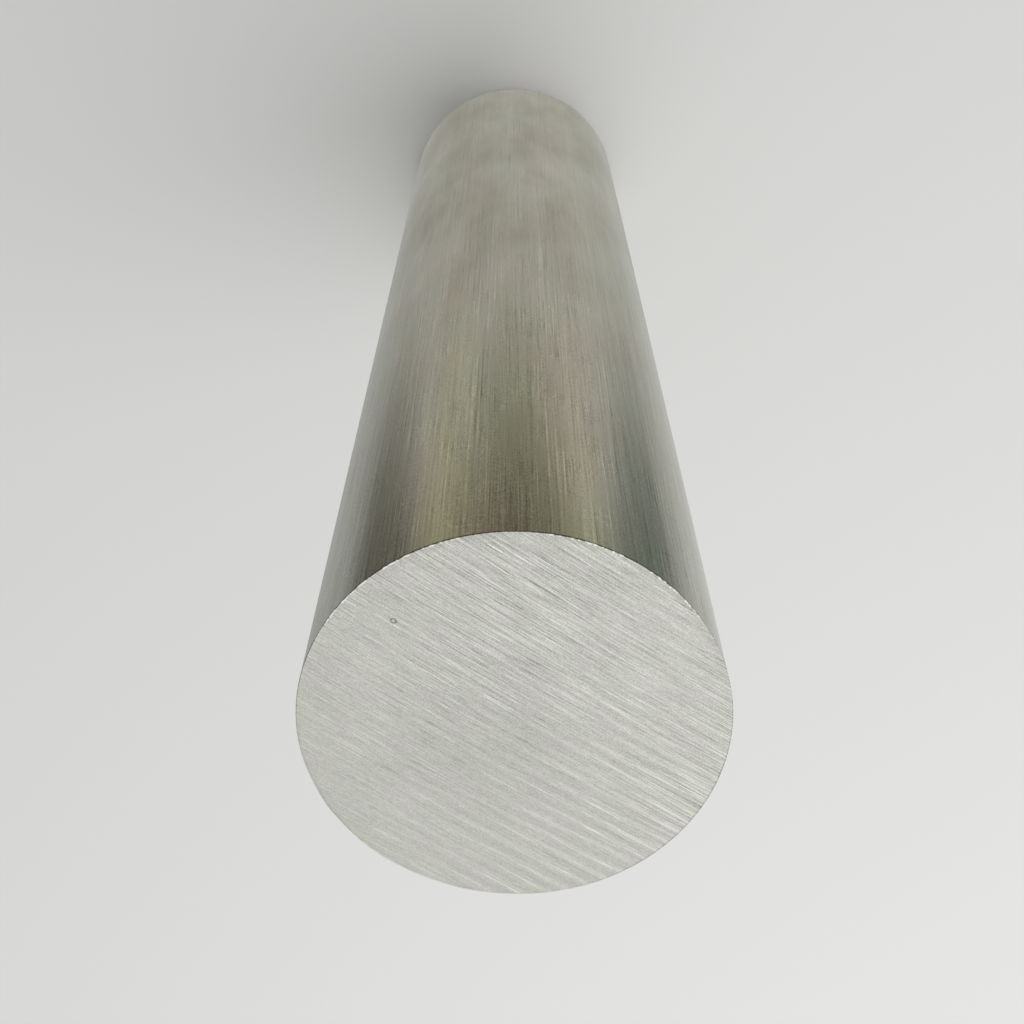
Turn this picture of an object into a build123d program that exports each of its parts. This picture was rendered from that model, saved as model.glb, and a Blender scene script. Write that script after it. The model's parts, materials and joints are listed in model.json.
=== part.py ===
"""A short length of solid round steel bar, bright drawn along its side and sawn square at both ends.

The bar stands on one sawn end. Lengths are in millimetres. The origin is the centre of the
lower end face, on the floor, and +Z runs up the bar's axis.
"""

import os

from build123d import *

# Driving dimensions
bar_diameter = 63.5  # stock size: 2 1/2 in
bar_length = 304.8  # cut length, end face to end face: 12 in
edge_break = 0.3  # leg of the small corner that a file takes off the rim of each sawn end

bar_radius = bar_diameter / 2

with BuildPart() as round_bar:
    # The drawn section, run up to the cut length
    with BuildSketch(Plane.XY):
        Circle(bar_radius)
    extrude(amount=bar_length)

    # A saw leaves a sharp rim at each end, and its corner is broken all the way round.
    rims = round_bar.edges().filter_by(GeomType.CIRCLE)
    chamfer(rims, length=edge_break)

round_bar.part.label = "round_bar"

os.makedirs("parts", exist_ok=True)
export_step(round_bar.part, "parts/round_bar.step")
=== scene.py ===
"""The looks of a short round steel bar that stands on one of its two sawn ends."""

import json
import math

import bpy
import numpy as np
from mathutils import Matrix, Vector


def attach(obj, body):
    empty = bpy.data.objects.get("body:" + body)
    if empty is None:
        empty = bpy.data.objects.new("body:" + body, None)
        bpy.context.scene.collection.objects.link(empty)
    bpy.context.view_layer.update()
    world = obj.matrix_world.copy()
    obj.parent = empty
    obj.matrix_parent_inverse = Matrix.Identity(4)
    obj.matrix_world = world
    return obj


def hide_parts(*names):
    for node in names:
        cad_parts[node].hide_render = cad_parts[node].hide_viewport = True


MM = 0.001
MICRON = 0.000001

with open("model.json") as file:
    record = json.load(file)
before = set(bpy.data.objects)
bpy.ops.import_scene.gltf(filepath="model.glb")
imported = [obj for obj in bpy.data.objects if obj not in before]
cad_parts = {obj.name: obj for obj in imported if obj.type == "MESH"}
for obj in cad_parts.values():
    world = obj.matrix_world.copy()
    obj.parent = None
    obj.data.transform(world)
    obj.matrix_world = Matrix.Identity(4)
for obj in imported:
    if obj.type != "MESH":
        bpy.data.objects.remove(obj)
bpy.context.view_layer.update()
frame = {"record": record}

# ---- Sizes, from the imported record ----
MOUNTS = {mount["name"]: mount for mount in frame["record"]["mounts"]}
RADIUS = MOUNTS["bar_surface"]["dims"]["r_mm"] * MM
LENGTH = MOUNTS["top_end"]["pos_m"][2]

# ---- The bar's mesh ----
RING = 1440  # vertices round the bar, a multiple of 4
CHORD = 32  # cells along each row of an end face
RIM_STEPS = 6  # cells over the broken corner
RIM_SUPPORTS = (0.3 * MM, 0.7 * MM)  # from the corner to the rings that keep the side straight
RIM_REACH = 3 * MM  # from an end to the last ring near it
SIDE_STEPS = 12  # cells along the rest of the side
SAW_ANGLE = math.radians(-34)  # the saw's direction on the ends, from +X
SAW_BOW = 1.0  # radius of the saw's lines, which are a little curved
SAW_PITCH = 2.25 * MM  # between the saw's waves
SAW_GROOVES = ((1.3, 60, 7), (0.6, 24, 7), (0.32, 12, 3))  # half period and run in mm, microns
BURRS = (242, 310)  # middles of the rim's burred stretches, in degrees from +X
WORN = 56  # middle of its worn stretch, square to the saw's lines
WORN_REACH = 75  # degrees from there to each end of the worn stretch
DRAWN, SAWN = 0, 1  # material slots
TOP_SEED, FOOT_SEED = 10, 40  # each end's saw relief
TOP_RIM_SEED, FOOT_RIM_SEED = 17, 47  # each end's broken corner
TOP_PLACE, FOOT_PLACE = (0.25, 0.75), (0.75, 0.75)  # middles of the ends in the bake map
END_SIZE = 0.245  # radius of an end in the bake map
SIDE_SIZE = 0.5  # height of the side in the bake map

ANGLES = SAW_ANGLE + np.arange(RING) * 2 * math.pi / RING  # each ring vertex's angle from +X


def lattice_noise(u, v, seed):
    """Smooth noise from -1 to 1 with cells of size 1, from a seeded random lattice."""
    cells = 256
    values = np.random.default_rng(seed).uniform(-1, 1, (cells + 1, cells + 1))
    values[-1], values[:, -1] = values[0], values[:, 0]
    u, v = np.broadcast_arrays(u, v)
    column, row = np.floor(u).astype(int), np.floor(v).astype(int)
    right, up = u - column, v - row
    right, up = right**2 * (3 - 2 * right), up**2 * (3 - 2 * up)
    column, row = column % cells, row % cells
    low = values[column, row] * (1 - right) + values[column + 1, row] * right
    high = values[column, row + 1] * (1 - right) + values[column + 1, row + 1] * right
    return low * (1 - up) + high * up


def saw_relief(x, y, seed):
    """Depth of the saw's grooves under an end's plane, in metres."""
    along = x * math.cos(SAW_ANGLE) + y * math.sin(SAW_ANGLE)
    across = y * math.cos(SAW_ANGLE) - x * math.sin(SAW_ANGLE) + along**2 / (2 * SAW_BOW)
    depth = np.zeros_like(x)
    for i, (half_period, run, size) in enumerate(SAW_GROOVES):
        noise = lattice_noise(across / (half_period * MM), along / (run * MM), seed + i)
        depth += size * MICRON * (1 + noise)
    return depth


def turned_from(middle):
    """Each ring vertex's angle from this one, in degrees."""
    return np.abs((np.degrees(ANGLES) - middle + 180) % 360 - 180)


def worn_share():
    """1 at the middle of the rim's worn stretch, and 0 from its ends on."""
    return (1 + np.cos(math.pi * np.clip(turned_from(WORN) / WORN_REACH, 0, 1))) / 2


def broken_corner(seed):
    """How far the rim's corner is broken, round the bar.

    It is broken least where the saw left a burr, and is worn round on the other side.
    """
    turns = ANGLES / (2 * math.pi)
    slow = lattice_noise(turns * 16, 0.5, seed)
    fast = lattice_noise(turns * 180, 0.5, seed + 1)
    dents = lattice_noise(turns * 40, 0.5, seed + 2)
    burred = np.clip(1.5 - np.minimum(*map(turned_from, BURRS)) / 20, 0, 1)
    size = 0.13 + 0.03 * slow + 0.02 * fast - burred * (0.04 - 0.06 * fast)
    size += worn_share() * (0.8 + 0.35 * dents + 0.08 * fast)
    return np.maximum(size, 0.03) * MM


class Skin:
    """Collects the vertices, quads and bake map of one closed mesh."""

    def __init__(self):
        self.points, self.count = [], 0
        self.faces, self.slots, self.maps = [], [], []

    def add_points(self, points):
        first = self.count
        self.points.append(points.reshape(-1, 3))
        self.count += len(self.points[-1])
        return first

    def add_faces(self, faces, slot, places):
        """faces holds indices, and places the u and v of each of their corners."""
        self.faces += faces.tolist()
        self.slots += [slot] * len(faces)
        self.maps.append(places.reshape(-1, 2))

    def make(self, name):
        mesh = bpy.data.meshes.new(name)
        mesh.from_pydata(np.concatenate(self.points).tolist(), [], self.faces)
        mesh.polygons.foreach_set("material_index", self.slots)
        mesh.polygons.foreach_set("use_smooth", [True] * len(self.slots))
        bake_map = mesh.uv_layers.new(name="OFBake")
        bake_map.data.foreach_set("uv", np.concatenate(self.maps).ravel())
        mesh.update()
        made = bpy.data.objects.new(name, mesh)
        bpy.context.collection.objects.link(made)
        return made


def ring(radius, z):
    x, y = radius * np.cos(ANGLES), radius * np.sin(ANGLES)
    return np.stack(np.broadcast_arrays(x, y, z), -1)


def rim_rings(corner, seed):
    """Rings from inside a face to the side, over its broken corner, with z as depth.

    The first ones are smooth, and lie close together to keep the face's shading even there.
    """
    inset = (0.35 + 1.5 * worn_share()) * MM
    rings = [ring(RADIUS - inset - extra, 0) for extra in (0.05 * MM, 0)]
    smooth = len(rings)
    for step in range(RIM_STEPS + 1):
        bend = math.pi / 2 * step / RIM_STEPS
        radius = RADIUS - corner * (1 - math.sin(bend))
        rings.append(ring(radius, corner * (1 - math.cos(bend))))
    for step, points in enumerate(rings):
        fade = min(1, 1 - (step - smooth) / RIM_STEPS)
        points[:, 2] += fade * saw_relief(points[:, 0], points[:, 1], seed)
    return rings


def disc_map(points, middle):
    """Places of an end's points in the bake map, where each end has a quarter of it."""
    return points[..., :2] / RADIUS * END_SIZE + middle


def add_end_face(skin, outline, first, seed, top):
    """Fills an end with rows of quads along the saw's lines, inside a ring of points.

    first is the index of the ring's first point. Two fans of triangles close the rows, where
    the ring runs along the saw's lines.
    """
    quarter = RING // 4
    rows = np.arange(1 - quarter, quarter)
    starts, stops = rows % RING, (RING // 2 - rows) % RING
    even = np.arange(1, CHORD) / CHORD
    closer_at_ends = (1 - np.cos(even * math.pi)) / 2
    share = (0.5 * even + 0.5 * closer_at_ends)[None, :, None]
    inner = outline[starts][:, None] * (1 - share) + outline[stops][:, None] * share
    depth = saw_relief(inner[..., 0], inner[..., 1], seed)
    inner[..., 2] = LENGTH - depth if top else depth
    grid = np.empty((len(rows), CHORD + 1), int)
    grid[:, 0], grid[:, -1] = first + starts, first + stops
    grid[:, 1:-1] = skin.add_points(inner) + np.arange(inner[..., 0].size).reshape(len(rows), -1)
    quads = np.stack([grid[:-1, :-1], grid[1:, :-1], grid[1:, 1:], grid[:-1, 1:]], -1)
    quads = quads.reshape(-1, 4)
    head, tail = np.full(CHORD, first + quarter), np.full(CHORD, first + RING - quarter)
    head_fan = np.stack([grid[-1, :-1], head, grid[-1, 1:]], -1)
    tail_fan = np.stack([grid[0, 1:], tail, grid[0, :-1]], -1)
    fans = np.concatenate([head_fan, tail_fan])
    if not top:
        quads, fans = quads[:, ::-1], fans[:, ::-1]
    places = np.concatenate(skin.points)
    for faces in (quads, fans):
        skin.add_faces(faces, SAWN, disc_map(places[faces], TOP_PLACE if top else FOOT_PLACE))


def build_bar():
    """The bar as one closed mesh: the drawn side, both broken corners and both sawn ends."""
    top_corner, foot_corner = broken_corner(TOP_RIM_SEED), broken_corner(FOOT_RIM_SEED)
    top_rim, foot_rim = rim_rings(top_corner, TOP_SEED), rim_rings(foot_corner, FOOT_SEED)
    for outline in top_rim:
        outline[:, 2] = LENGTH - outline[:, 2]
    heights = [LENGTH - top_corner - support for support in RIM_SUPPORTS]
    heights += list(np.linspace(LENGTH - RIM_REACH, RIM_REACH, SIDE_STEPS + 1))
    heights += [foot_corner + support for support in reversed(RIM_SUPPORTS)]
    rings = top_rim + [ring(RADIUS, z) for z in heights] + foot_rim[::-1]

    skin = Skin()
    first = [skin.add_points(points) for points in rings]
    here = np.arange(RING)
    following = (here + 1) % RING
    for k in range(len(rings) - 1):
        corners = ((k, here), (k + 1, here), (k + 1, following), (k, following))
        faces = np.stack([first[level] + index for level, index in corners], -1)
        on_top = k < len(top_rim) - 1
        on_foot = k > len(rings) - 1 - len(foot_rim)
        if on_top or on_foot:
            points = np.stack([rings[level][index] for level, index in corners], 1)
            middle = TOP_PLACE if on_top else FOOT_PLACE
            skin.add_faces(faces, SAWN, disc_map(points, middle))
        else:
            u = np.stack([here, here, here + 1, here + 1], -1) / RING
            z = np.array([rings[level][0, 2] for level, _ in corners])
            places = np.broadcast_arrays(u, z / LENGTH * SIDE_SIZE)
            skin.add_faces(faces, DRAWN, np.stack(places, -1))
    add_end_face(skin, rings[0], first[0], TOP_SEED, top=True)
    add_end_face(skin, rings[-1], first[-1], FOOT_SEED, top=False)
    return skin.make("bar")


# ---- Node helpers ----
def rgb(red, green, blue):
    return (red, green, blue, 1.0)


class Tree:
    """A short way to add nodes to a material or world and to link them."""

    def __init__(self, owner):
        owner.use_nodes = True
        self.tree = owner.node_tree
        self.tree.nodes.clear()

    def feed(self, socket, value):
        if isinstance(value, bpy.types.NodeSocket):
            self.tree.links.new(value, socket)
        else:
            socket.default_value = value

    def add(self, kind, inputs=None, **settings):
        made = self.tree.nodes.new(kind)
        for name, value in settings.items():
            setattr(made, name, value)
        for name, value in (inputs or {}).items():
            self.feed(made.inputs[name], value)
        return made

    def math(self, operation, *values):
        made = self.add("ShaderNodeMath", dict(enumerate(values)), operation=operation)
        return made.outputs[0]

    def vector(self, operation, *values):
        made = self.add("ShaderNodeVectorMath", dict(enumerate(values)), operation=operation)
        return made.outputs[0]

    def vector_length(self, value):
        return self.add("ShaderNodeVectorMath", {0: value}, operation="LENGTH").outputs["Value"]

    def dot(self, a, b):
        made = self.add("ShaderNodeVectorMath", {0: a, 1: b}, operation="DOT_PRODUCT")
        return made.outputs["Value"]

    def ramp(self, value, low, high, to_low=0.0, to_high=1.0):
        """A smooth step between two values, which holds outside them."""
        ends = {"From Min": low, "From Max": high, "To Min": to_low, "To Max": to_high}
        made = self.add("ShaderNodeMapRange", ends, interpolation_type="SMOOTHSTEP")
        self.feed(made.inputs["Value"], value)
        return made.outputs["Result"]

    def mix(self, factor, a, b, blend="MIX"):
        made = self.add("ShaderNodeMix", data_type="RGBA", blend_type=blend)
        self.feed(made.inputs["Factor"], factor)
        self.feed(made.inputs[6], a)
        self.feed(made.inputs[7], b)
        return made.outputs[2]

    def colours(self, value, stops):
        """A colour for each value, straight between stops of (value, red, green, blue)."""
        made = self.add("ShaderNodeValToRGB", {"Fac": value})
        elements = made.color_ramp.elements
        while len(elements) < len(stops):
            elements.new(1.0)
        for element, (position, *colour) in zip(elements, stops):
            element.position, element.color = position, rgb(*colour)
        return made.outputs["Color"]

    def total(self, *terms):
        """The sum of (weight, value) terms."""
        result = 0.0
        for weight, value in terms:
            result = self.math("MULTIPLY_ADD", value, weight, result)
        return result

    def brightened(self, colour, amount):
        """The colour times 1 + amount."""
        factor = self.math("ADD", amount, 1.0)
        grey = self.add("ShaderNodeCombineColor", {0: factor, 1: factor, 2: factor})
        return self.mix(1.0, colour, grey.outputs[0], "MULTIPLY")

    def noise(self, place, widths, shift=0.0, detail=2.0, rough=0.5):
        """Noise of about -1 to 1 whose grains have these widths in metres along each axis."""
        scaled = self.vector("MULTIPLY_ADD", place, [1 / width for width in widths], [shift] * 3)
        settings = {"Scale": 1.0, "Detail": detail, "Roughness": rough}
        made = self.add("ShaderNodeTexNoise", settings)
        self.feed(made.inputs["Vector"], scaled)
        return self.math("MULTIPLY_ADD", made.outputs["Fac"], 4.0, -2.0)


# ---- Materials ----
STEEL_GRAZING = rgb(0.82, 0.82, 0.82)  # steel reflects less at a glance than Schlick's curve says


def marks_from(top, *places):
    """Points on the bar from (x, y, distance below the upper end) in millimetres."""
    return [Vector((x * MM, y * MM, top - below * MM)) for x, y, below in places]


# Ends of the scratches, from start to stop
SIDE_SCRATCH = marks_from(LENGTH, (-9.09, -30.46, 21.32), (-11.59, -29.6, 21.75))
END_SCRATCH = marks_from(LENGTH, (3.64, -29.78, 0), (1.64, -28.51, 0))
FAINT_END_SCRATCH = marks_from(LENGTH, (3.59, -27.13, 0), (0.9, -25.1, 0))

# Stretches of an end's rim, as their middle and the reach from it, in degrees from +X
BURR_STRETCHES = ((240, 30), (307, 26))
# Below, stretches of a band of painted shade, of a corner without painted shade, of painted sheen
# on the worn lip and of a line of painted shade.
SHADED_BAND_STRETCH = (250, 75)
UNSHADED_CORNER_STRETCH = (208, 24)
WORN_SHEEN_STRETCH = (80, 45)
SHADE_LINE_STRETCH = (130, 55)


def finish_steel(t, colour, height, depth, finish):
    """The shader of bare steel with this colour and finish, and a bump of this depth."""
    bump = t.add("ShaderNodeBump", {"Strength": 1.0, "Distance": depth, "Height": height})
    surface = t.add("ShaderNodeBsdfPrincipled", finish)
    for name, value in (
        ("Base Color", colour),
        ("Metallic", 1.0),
        ("Specular Tint", STEEL_GRAZING),
        ("Normal", bump.outputs[0]),
    ):
        t.feed(surface.inputs[name], value)
    t.add("ShaderNodeOutputMaterial", {"Surface": surface.outputs[0]})


def drawn_steel():
    """Bright drawn steel: fine straight draw lines over cloudy tints.

    Towards the foot the lines get fainter, and the clouds stronger and browner. The tints
    and the clouds are part stain and part painted reflection.
    """
    material = bpy.data.materials.new("drawn_steel")
    t = Tree(material)
    place = t.add("ShaderNodeTexCoord").outputs["Object"]
    fine = t.noise(place, (0.15 * MM, 0.15 * MM, 8 * MM), detail=1)
    lines = t.noise(place, (0.3 * MM, 0.3 * MM, 40 * MM), shift=3, detail=1)
    bands = t.noise(place, (1.6 * MM, 1.6 * MM, 160 * MM), shift=7)
    clouds = t.noise(place, (13 * MM, 13 * MM, 38 * MM), shift=11, detail=3)
    patches = t.noise(place, (5 * MM, 5 * MM, 9 * MM), shift=19, detail=3)
    tint = t.noise(place, (14 * MM, 14 * MM, 30 * MM), shift=23, detail=3)
    crinkle = t.noise(place, (0.3 * MM, 0.3 * MM, 0.5 * MM), shift=31)
    bright = t.ramp(t.noise(place, (0.4 * MM, 0.4 * MM, 50 * MM), shift=37, detail=1), 0.4, 1.0)
    dark = t.ramp(t.noise(place, (0.35 * MM, 0.35 * MM, 40 * MM), shift=39, detail=1), 0.4, 1.0)
    # The pink and green tints are part stain and part painted reflection.
    pink, green = rgb(0.572, 0.546, 0.504), rgb(0.553, 0.557, 0.497)
    colour = t.mix(t.ramp(tint, -0.4, 0.4), pink, green)
    marks = t.total((0.11, fine), (0.13, lines), (0.17, crinkle), (0.22, bright), (-0.22, dark))
    _, _, z = t.add("ShaderNodeSeparateXYZ", {0: place}).outputs
    uneven = t.ramp(patches, -0.8, 0.8, 0.4, 1.6)
    uneven = t.math("MULTIPLY", uneven, t.ramp(z, 0.3 * LENGTH, LENGTH, 0.5, 1.25))
    # Browner clouds towards the foot, part stain and part painted reflection.
    stain_and_reflection = t.ramp(z, 0.35 * LENGTH, 0.8 * LENGTH, 1.0, 0.4)
    stain_and_reflection = t.math("MULTIPLY", stain_and_reflection, t.ramp(clouds, 0.4, -0.4))
    colour = t.mix(stain_and_reflection, colour, rgb(1.0, 0.985, 0.93), "MULTIPLY")
    # The clouds' brightness, stronger towards the foot, is part painted reflection.
    clouds = t.math("MULTIPLY", clouds, t.ramp(z, 0.35 * LENGTH, 0.8 * LENGTH, 0.27, 0.06))
    crosswise = scratch(t, place, *SIDE_SCRATCH)
    # Painted shadow: the dark ragged line on the side just below the burr.
    burr = painted_burr_shadow(t, place)
    streaks = t.total((0.04, bands), (1.0, clouds), (1.0, burr), (0.5, crosswise))
    streaks = t.math("MULTIPLY_ADD", marks, uneven, streaks)
    height = t.total((0.3, fine), (0.5, lines), (0.3, crinkle))
    tangent = t.add("ShaderNodeTangent", direction_type="RADIAL", axis="Z").outputs[0]
    finish = {"Roughness": 0.2, "Anisotropic": 0.5, "Tangent": tangent}
    finish_steel(t, t.brightened(colour, streaks), height, 0.6 * MICRON, finish)
    return material


def saw_place(t, place):
    """The place turned so that X is along the saw's lines and Y across them."""
    turned = t.add("ShaderNodeVectorRotate", {"Vector": place, "Angle": -SAW_ANGLE})
    along, across, z = t.add("ShaderNodeSeparateXYZ", {0: turned.outputs[0]}).outputs
    bow = t.math("MULTIPLY", t.math("MULTIPLY", along, along), 0.5 / SAW_BOW)
    across = t.math("ADD", across, bow)
    return t.add("ShaderNodeCombineXYZ", {0: along, 1: across, 2: z}).outputs[0]


def sector(t, place, middle, reach):
    """1 on an end towards the angle middle, in degrees from +X, and 0 from reach away."""
    flat = t.vector("NORMALIZE", t.vector("MULTIPLY", place, (1, 1, 0)))
    angle = math.radians(middle)
    towards = t.dot(flat, (math.cos(angle), math.sin(angle), 0))
    stop, start = math.cos(math.radians(reach)), math.cos(math.radians(reach / 2))
    return t.ramp(towards, stop, start)


def burr_sides(t, place):
    """1 on the two stretches of the rim where the saw left a burr."""
    first, second = (sector(t, place, *stretch) for stretch in BURR_STRETCHES)
    return t.math("MAXIMUM", first, second)


def rim_marks(t, place):
    """Painted light and shade at an end's rim.

    They are a painted shade on the corner, but for one stretch without it, a band of painted
    shade and painted glints on the beads where the saw left its burr, and a painted sheen on the
    worn lip and a thin line of painted shade on the other side.
    """
    radius = t.vector_length(t.vector("MULTIPLY", place, (1, 1, 0)))
    # Painted shade: the rim's corner is darkened, except on one stretch.
    corner = t.ramp(radius, RADIUS - 0.09 * MM, RADIUS - 0.05 * MM)
    corner = t.math("MULTIPLY", corner, t.math("SUBTRACT", 1.0, sector(t, place, *UNSHADED_CORNER_STRETCH)))
    # Painted shade: a band inside the burred stretch is darkened.
    dimmed = t.ramp(radius, RADIUS - 1.4 * MM, RADIUS - 0.4 * MM)
    dimmed = t.math("MULTIPLY", dimmed, sector(t, place, *SHADED_BAND_STRETCH))
    # Painted glints: bright beads along the burr.
    edge = t.ramp(radius, RADIUS - 0.32 * MM, RADIUS - 0.18 * MM)
    beads = t.ramp(t.noise(place, (0.7 * MM,) * 3, shift=51), 0.0, 0.5)
    burr = t.math("MULTIPLY", t.math("MULTIPLY", edge, beads), burr_sides(t, place))
    # Painted sheen: the worn lip is brightened where it turns away from the end.
    normal = t.add("ShaderNodeTexCoord").outputs["Normal"]
    _, _, level = t.add("ShaderNodeSeparateXYZ", {0: normal}).outputs
    lip = t.ramp(t.math("ABSOLUTE", level), 0.985, 0.92)
    lip = t.math("MULTIPLY", lip, sector(t, place, *WORN_SHEEN_STRETCH))
    # Painted shade: a thin darker line inside the rim on the other side.
    line = t.ramp(radius, RADIUS - 0.3 * MM, RADIUS - 0.2 * MM)
    line = t.math("MULTIPLY", line, sector(t, place, *SHADE_LINE_STRETCH))
    return t.total((-0.75, corner), (-0.08, dimmed), (1.1, burr), (0.65, lip), (-0.2, line))


def painted_burr_shadow(t, place):
    """A painted shadow: the dark ragged line on the side just below the burr."""
    _, _, z = t.add("ShaderNodeSeparateXYZ", {0: place}).outputs
    ragged = t.noise(place, (0.9 * MM, 0.9 * MM, 9 * MM), shift=57)
    foot = t.math("MULTIPLY_ADD", ragged, 0.12 * MM, t.math("SUBTRACT", LENGTH, z))
    dark = t.ramp(foot, 0.2 * MM, 0.4 * MM, -0.6, 0.0)
    return t.math("MULTIPLY", dark, burr_sides(t, place))


def scratch(t, place, start, stop):
    """A fine straight scratch, bright along its middle and dark along both edges."""
    run = stop - start
    gap = t.vector("SUBTRACT", place, start)
    share = t.dot(gap, run / run.length_squared)
    share = t.add("ShaderNodeClamp", {"Value": share}).outputs[0]
    reached = t.add("ShaderNodeVectorMath", {0: run, "Scale": share}, operation="SCALE")
    miss = t.vector_length(t.vector("SUBTRACT", gap, reached.outputs[0]))
    middle = t.ramp(miss, 0.1 * MM, 0.18 * MM, 1.0, 0.0)
    edges = t.ramp(miss, 0.22 * MM, 0.36 * MM, 1.0, 0.0)
    return t.total((0.5, middle), (-0.25, edges))


def end_scratches(t, place):
    """Two short scratches on the upper end, near its rim."""
    clear = scratch(t, place, *END_SCRATCH)
    faint = scratch(t, place, *FAINT_END_SCRATCH)
    return t.math("MULTIPLY_ADD", faint, 0.6, clear)


def ring_mark(t, place):
    """A tiny dark ring pressed into the upper end, 1 mm wide."""
    spot = (0.534 * RADIUS, -0.555 * RADIUS, LENGTH)
    gap = t.vector_length(t.vector("SUBTRACT", place, spot))
    outside = t.ramp(gap, 0.22 * MM, 0.34 * MM)
    inside = t.ramp(gap, 0.42 * MM, 0.56 * MM, 1.0, 0.0)
    return t.math("MULTIPLY", t.math("MULTIPLY", outside, inside), -0.5)


def saw_waves(t, sawn):
    """The saw's evenly spaced waves, which show on one half of an end, as painted light and shade
    with painted highlights on their crests.
    """
    along, across, _ = t.add("ShaderNodeSeparateXYZ", {0: sawn}).outputs
    drift = t.noise(sawn, (40 * MM, 7 * MM, 9 * MM), shift=9, detail=1)
    phase = t.math("MULTIPLY_ADD", across, 2 * math.pi / SAW_PITCH, t.math("MULTIPLY", drift, 1.5))
    # Painted light and shade of the waves, with painted highlights on their crests.
    wave = t.math("SINE", phase)
    lines = t.ramp(t.noise(sawn, (8 * MM, 0.15 * MM, 9 * MM), shift=27, detail=1), 0.15, 0.6)
    crest_highlight = t.math("MULTIPLY", t.ramp(wave, 0.3, 1.0), lines)
    size = t.ramp(along, 0.4 * RADIUS, -0.8 * RADIUS, 0.01, 0.08)
    size = t.math("MULTIPLY", size, t.ramp(across, -0.9 * RADIUS, 0.1 * RADIUS, 0.4, 1.0))
    return t.math("MULTIPLY", t.total((0.6, wave), (4.2, crest_highlight)), size)


def close_lines(t, sawn):
    """Thin lines close together, at the end of the saw's run."""
    along, across, _ = t.add("ShaderNodeSeparateXYZ", {0: sawn}).outputs
    lines = t.noise(sawn, (12 * MM, 0.13 * MM, 9 * MM), shift=93, detail=0)
    where = t.ramp(along, -0.45 * RADIUS, -0.75 * RADIUS)
    where = t.math("MULTIPLY", where, t.ramp(across, 0.35 * RADIUS, 0.0))
    lines = t.math("SUBTRACT", t.ramp(lines, 0.0, 0.6), 0.3)
    return t.math("MULTIPLY", t.math("MULTIPLY", lines, where), 0.32)


def sawn_steel():
    """Band sawn steel: fine parallel scores, some bright and some dark, over a fine grain.

    The scores are part the steel's own tone and part painted highlights and shade of their
    grooves.
    """
    material = bpy.data.materials.new("sawn_steel")
    t = Tree(material)
    place = t.add("ShaderNodeTexCoord").outputs["Object"]
    sawn = saw_place(t, place)
    scores = t.noise(sawn, (14 * MM, 0.3 * MM, 9 * MM), detail=1)
    scratches = t.noise(sawn, (7 * MM, 0.17 * MM, 9 * MM), shift=5, detail=1)
    grain = t.noise(sawn, (0.25 * MM, 0.16 * MM, 9 * MM), shift=13)
    blots = t.noise(sawn, (1.1 * MM, 0.45 * MM, 9 * MM), shift=89)
    clouds = t.noise(place, (14 * MM, 9 * MM, 9 * MM), shift=17)
    bright = t.ramp(t.noise(sawn, (10 * MM, 0.16 * MM, 9 * MM), shift=41, detail=1), 0.3, 0.8)
    dark = t.ramp(t.noise(sawn, (6 * MM, 0.16 * MM, 9 * MM), shift=43, detail=1), 0.4, 0.9)
    soft = t.ramp(t.noise(sawn, (9 * MM, 0.3 * MM, 9 * MM), shift=83, detail=1), 0.1, 0.9)
    broken = t.ramp(t.noise(sawn, (2.2 * MM, 0.4 * MM, 9 * MM), shift=71), -0.6, 0.6, 0.6, 1.4)
    # The bright and soft streaks are painted highlights and the dark ones painted shade, over the
    # steel's own tone.
    marks = t.total((0.08, scores), (0.17, scratches), (0.15, bright), (-0.16, dark), (0.05, soft))

    spot = (0.15 * RADIUS, 0.1 * RADIUS, LENGTH)
    gap = t.vector_length(t.vector("SUBTRACT", place, spot))
    dimmed = t.ramp(gap, 0.0, 0.6 * RADIUS, 1.0, 0.0)
    along, across, _ = t.add("ShaderNodeSeparateXYZ", {0: sawn}).outputs
    grain = t.math("MULTIPLY", grain, t.ramp(across, -0.4 * RADIUS, 0.6 * RADIUS, 1.1, 0.8))
    strength = t.ramp(across, 0.9 * RADIUS, -0.7 * RADIUS, 0.5, 1.4)
    strength = t.math("MULTIPLY", strength, t.math("MULTIPLY_ADD", dimmed, -0.25, 1.0))
    strength = t.math("MULTIPLY", strength, t.ramp(along, -0.35 * RADIUS, 0.35 * RADIUS, 0.7, 1.2))
    strength = t.math("MULTIPLY", strength, t.ramp(along, 0.4 * RADIUS, 0.8 * RADIUS, 1.0, 0.75))
    strength = t.math("MULTIPLY", strength, broken)
    shade = t.total(
        (0.21, grain),
        (0.07, blots),
        (1.0, close_lines(t, sawn)),
        (0.02, clouds),
        (-0.07, dimmed),
        (1.0, saw_waves(t, sawn)),
        (1.0, rim_marks(t, place)),
        (1.0, ring_mark(t, place)),
        (1.0, end_scratches(t, place)),
    )
    shade = t.math("MULTIPLY_ADD", marks, strength, shade)
    warm = t.ramp(t.noise(place, (9 * MM, 7 * MM, 9 * MM), shift=61), -0.4, 0.4)
    colour = t.mix(warm, rgb(0.684, 0.693, 0.631), rgb(0.687, 0.688, 0.645))
    height = t.total((0.5, scores), (0.3, scratches), (0.15, grain))
    finish_steel(t, t.brightened(colour, shade), height, 6 * MICRON, {"Roughness": 0.45})
    return material


# ---- Stage, light and camera ----
AMBIENT = rgb(0.451, 0.451, 0.446)
FLOOR_SHADE = rgb(0.361, 0.361, 0.353)  # the floor's own brightness in the ambient light


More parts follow.
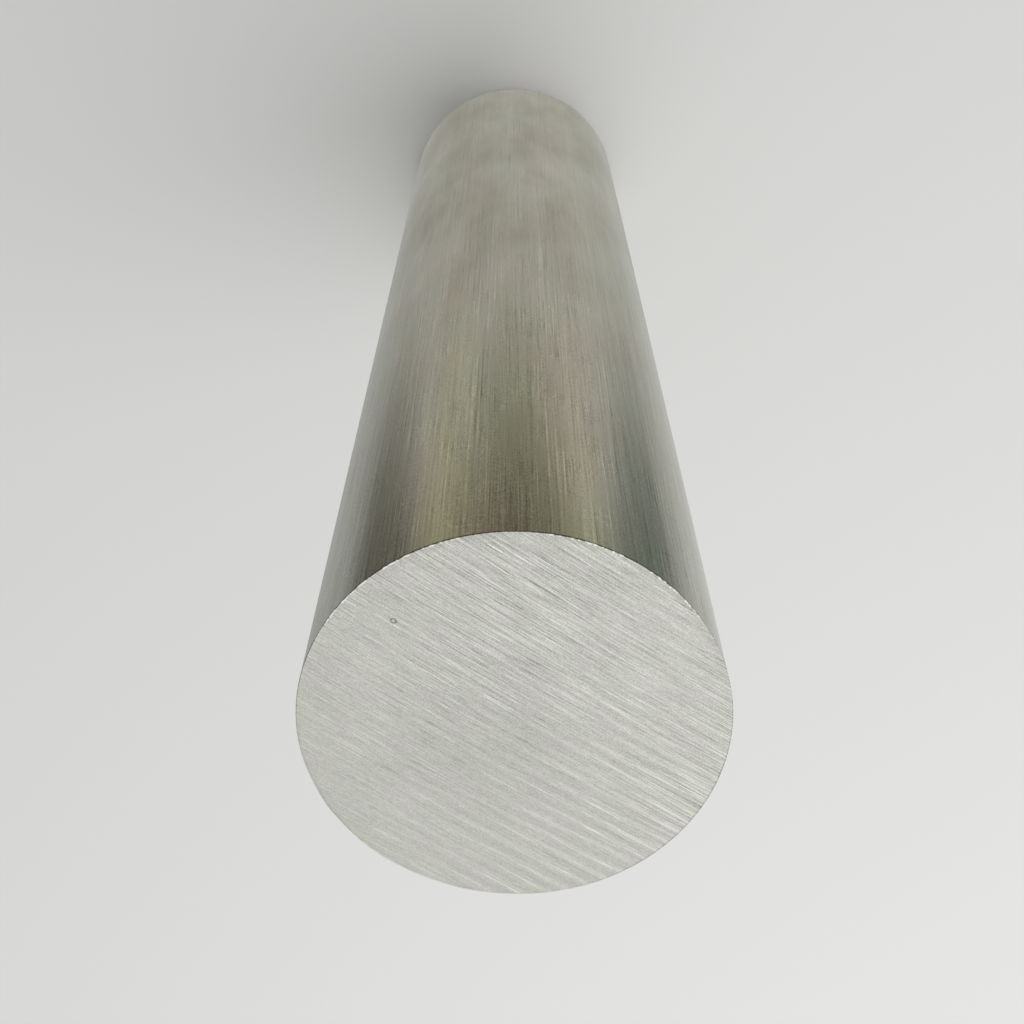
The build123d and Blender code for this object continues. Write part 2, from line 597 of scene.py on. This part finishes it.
def make_floor():
    """A wide pale floor, which the steel doesn't reflect."""
    far = 12.0
    corners = [(-far, -far, 0), (far, -far, 0), (far, far, 0), (-far, far, 0)]
    mesh = bpy.data.meshes.new("floor")
    mesh.from_pydata(corners, [], [(0, 1, 2, 3)])
    floor = bpy.data.objects.new("floor", mesh)
    bpy.context.collection.objects.link(floor)
    material = bpy.data.materials.new("floor")
    t = Tree(material)
    pale = {"Base Color": rgb(0.8, 0.8, 0.79), "Roughness": 0.9, "Specular IOR Level": 0.1}
    surface = t.add("ShaderNodeBsdfPrincipled", pale)
    t.add("ShaderNodeOutputMaterial", {"Surface": surface.outputs[0]})
    mesh.materials.append(material)
    floor.visible_glossy = False  # it reflects the studio below instead


def studio_below(t, x, y, z):
    """What the steel reflects when it is seen from above its upper end.

    That is a pale backdrop under it, which gets browner and darker towards the front, a dark
    room to both sides of the backdrop, and a pale studio behind.
    """
    side = t.ramp(x, -0.3, 0.3)
    backdrop = t.colours(
        t.math("MULTIPLY", y, -1.0),
        (
            (0.05, 0.55, 0.545, 0.49),
            (0.15, 0.60, 0.59, 0.54),
            (0.25, 0.56, 0.55, 0.51),
            (0.31, 0.62, 0.62, 0.55),
            (0.36, 0.475, 0.46, 0.39),
            (0.41, 0.30, 0.285, 0.175),
            (0.46, 0.155, 0.14, 0.115),
        ),
    )
    backdrop = t.brightened(backdrop, t.math("MULTIPLY_ADD", side, -0.1, 0.05))
    aside = t.math("ABSOLUTE", t.math("ARCTAN2", x, t.math("MULTIPLY", z, -1.0)))
    outer = t.ramp(aside, math.radians(8), math.radians(20))
    outer = t.math("MULTIPLY", outer, t.ramp(y, -0.28, -0.18, 1.0, 0.0))
    olive = t.mix(side, rgb(1.0, 0.97, 0.87), rgb(1.0, 0.95, 0.74))
    backdrop = t.mix(outer, backdrop, olive, "MULTIPLY")
    edge = t.ramp(aside, math.radians(19.4), math.radians(28.9), 1.0, 0.0)
    room = t.mix(side, rgb(0.183, 0.216, 0.182), rgb(0.137, 0.137, 0.105))
    near = t.mix(side, rgb(0.64, 0.648, 0.606), rgb(0.508, 0.518, 0.491))
    far = t.mix(side, rgb(0.79, 0.81, 0.77), rgb(0.505, 0.515, 0.495))
    behind = t.mix(t.ramp(y, 0.2, 0.5), near, far)
    return t.mix(t.ramp(y, -0.01, 0.254), t.mix(edge, room, backdrop), behind)


def studio_round(t, x, y):
    """What the steel reflects round about: pale behind, and dark in front with two soft boxes."""
    turn = t.math("ARCTAN2", x, t.math("MULTIPLY", y, -1.0))
    return t.colours(
        t.math("DIVIDE", t.math("ABSOLUTE", turn), math.pi),
        (
            (0.00, 0.26, 0.25, 0.22),
            (0.10, 0.17, 0.17, 0.15),
            (0.15, 0.20, 0.20, 0.18),
            (0.20, 0.62, 0.62, 0.58),
            (0.24, 0.62, 0.62, 0.58),
            (0.30, 0.22, 0.22, 0.20),
            (0.44, 0.14, 0.14, 0.13),
            (0.55, 0.66, 0.66, 0.64),
            (0.80, 0.80, 0.80, 0.78),
            (0.90, 0.56, 0.56, 0.54),
            (1.00, 0.50, 0.50, 0.48),
        ),
    )


def make_world():
    """One even pale light for the floor, and a studio for the steel to reflect."""
    world = bpy.data.worlds.new("studio")
    bpy.context.scene.world = world
    t = Tree(world)
    direction = t.add("ShaderNodeTexCoord").outputs["Generated"]
    x, y, z = t.add("ShaderNodeSeparateXYZ", {"Vector": direction}).outputs
    around = t.mix(t.ramp(z, -0.78, -0.6), studio_below(t, x, y, z), studio_round(t, x, y))
    overhead = t.brightened(rgb(0.82, 0.82, 0.81), t.math("MULTIPLY", x, -0.5))
    seen = t.mix(t.ramp(z, 0.2, 0.6), around, overhead)
    path = t.add("ShaderNodeLightPath").outputs
    light = t.mix(path["Is Camera Ray"], AMBIENT, FLOOR_SHADE)
    light = t.mix(path["Is Glossy Ray"], light, seen)
    background = t.add("ShaderNodeBackground", {"Color": light, "Strength": 1.0})
    t.add("ShaderNodeOutputWorld", {"Surface": background.outputs[0]})


def make_light(name, place, aim, size, power):
    data = bpy.data.lights.new(name, "AREA")
    data.shape, data.size, data.energy = "DISK", size, power
    light = bpy.data.objects.new(name, data)
    light.location = place
    light.rotation_euler = (Vector(aim) - Vector(place)).to_track_quat("-Z", "Y").to_euler()
    light.visible_camera = light.visible_glossy = False
    bpy.context.collection.objects.link(light)


def make_camera():
    """A close view down on the upper end, turned so that this end is low in the picture."""
    data = bpy.data.cameras.new("camera")
    data.lens, data.sensor_width = 52.8, 36.0
    data.clip_start, data.clip_end = 0.01, 50.0
    camera = bpy.data.objects.new("camera", data)
    tilt = math.radians(26.67)
    ahead = Vector((0, math.sin(tilt), -math.cos(tilt)))
    up = Vector((0, -math.cos(tilt), -math.sin(tilt)))
    axes = Matrix((ahead.cross(up), up, -ahead)).transposed()
    yaw = Matrix.Rotation(math.radians(-0.067), 3, "Y")
    place = Vector((0.004 * RADIUS, -3.959 * RADIUS, LENGTH + 5.706 * RADIUS))
    camera.matrix_world = Matrix.Translation(place) @ (yaw @ axes).to_4x4()
    bpy.context.collection.objects.link(camera)
    bpy.context.scene.camera = camera


bar = build_bar()
bar.data.materials.append(drawn_steel())
bar.data.materials.append(sawn_steel())
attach(bar, "root")
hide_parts("round_bar")

make_floor()
make_world()
make_light("key", (-0.46, 0.53, 1.6), (-0.8, 1.5, 0), 1.6, 20.0)
make_camera()
bpy.context.scene.view_settings.view_transform = "Standard"
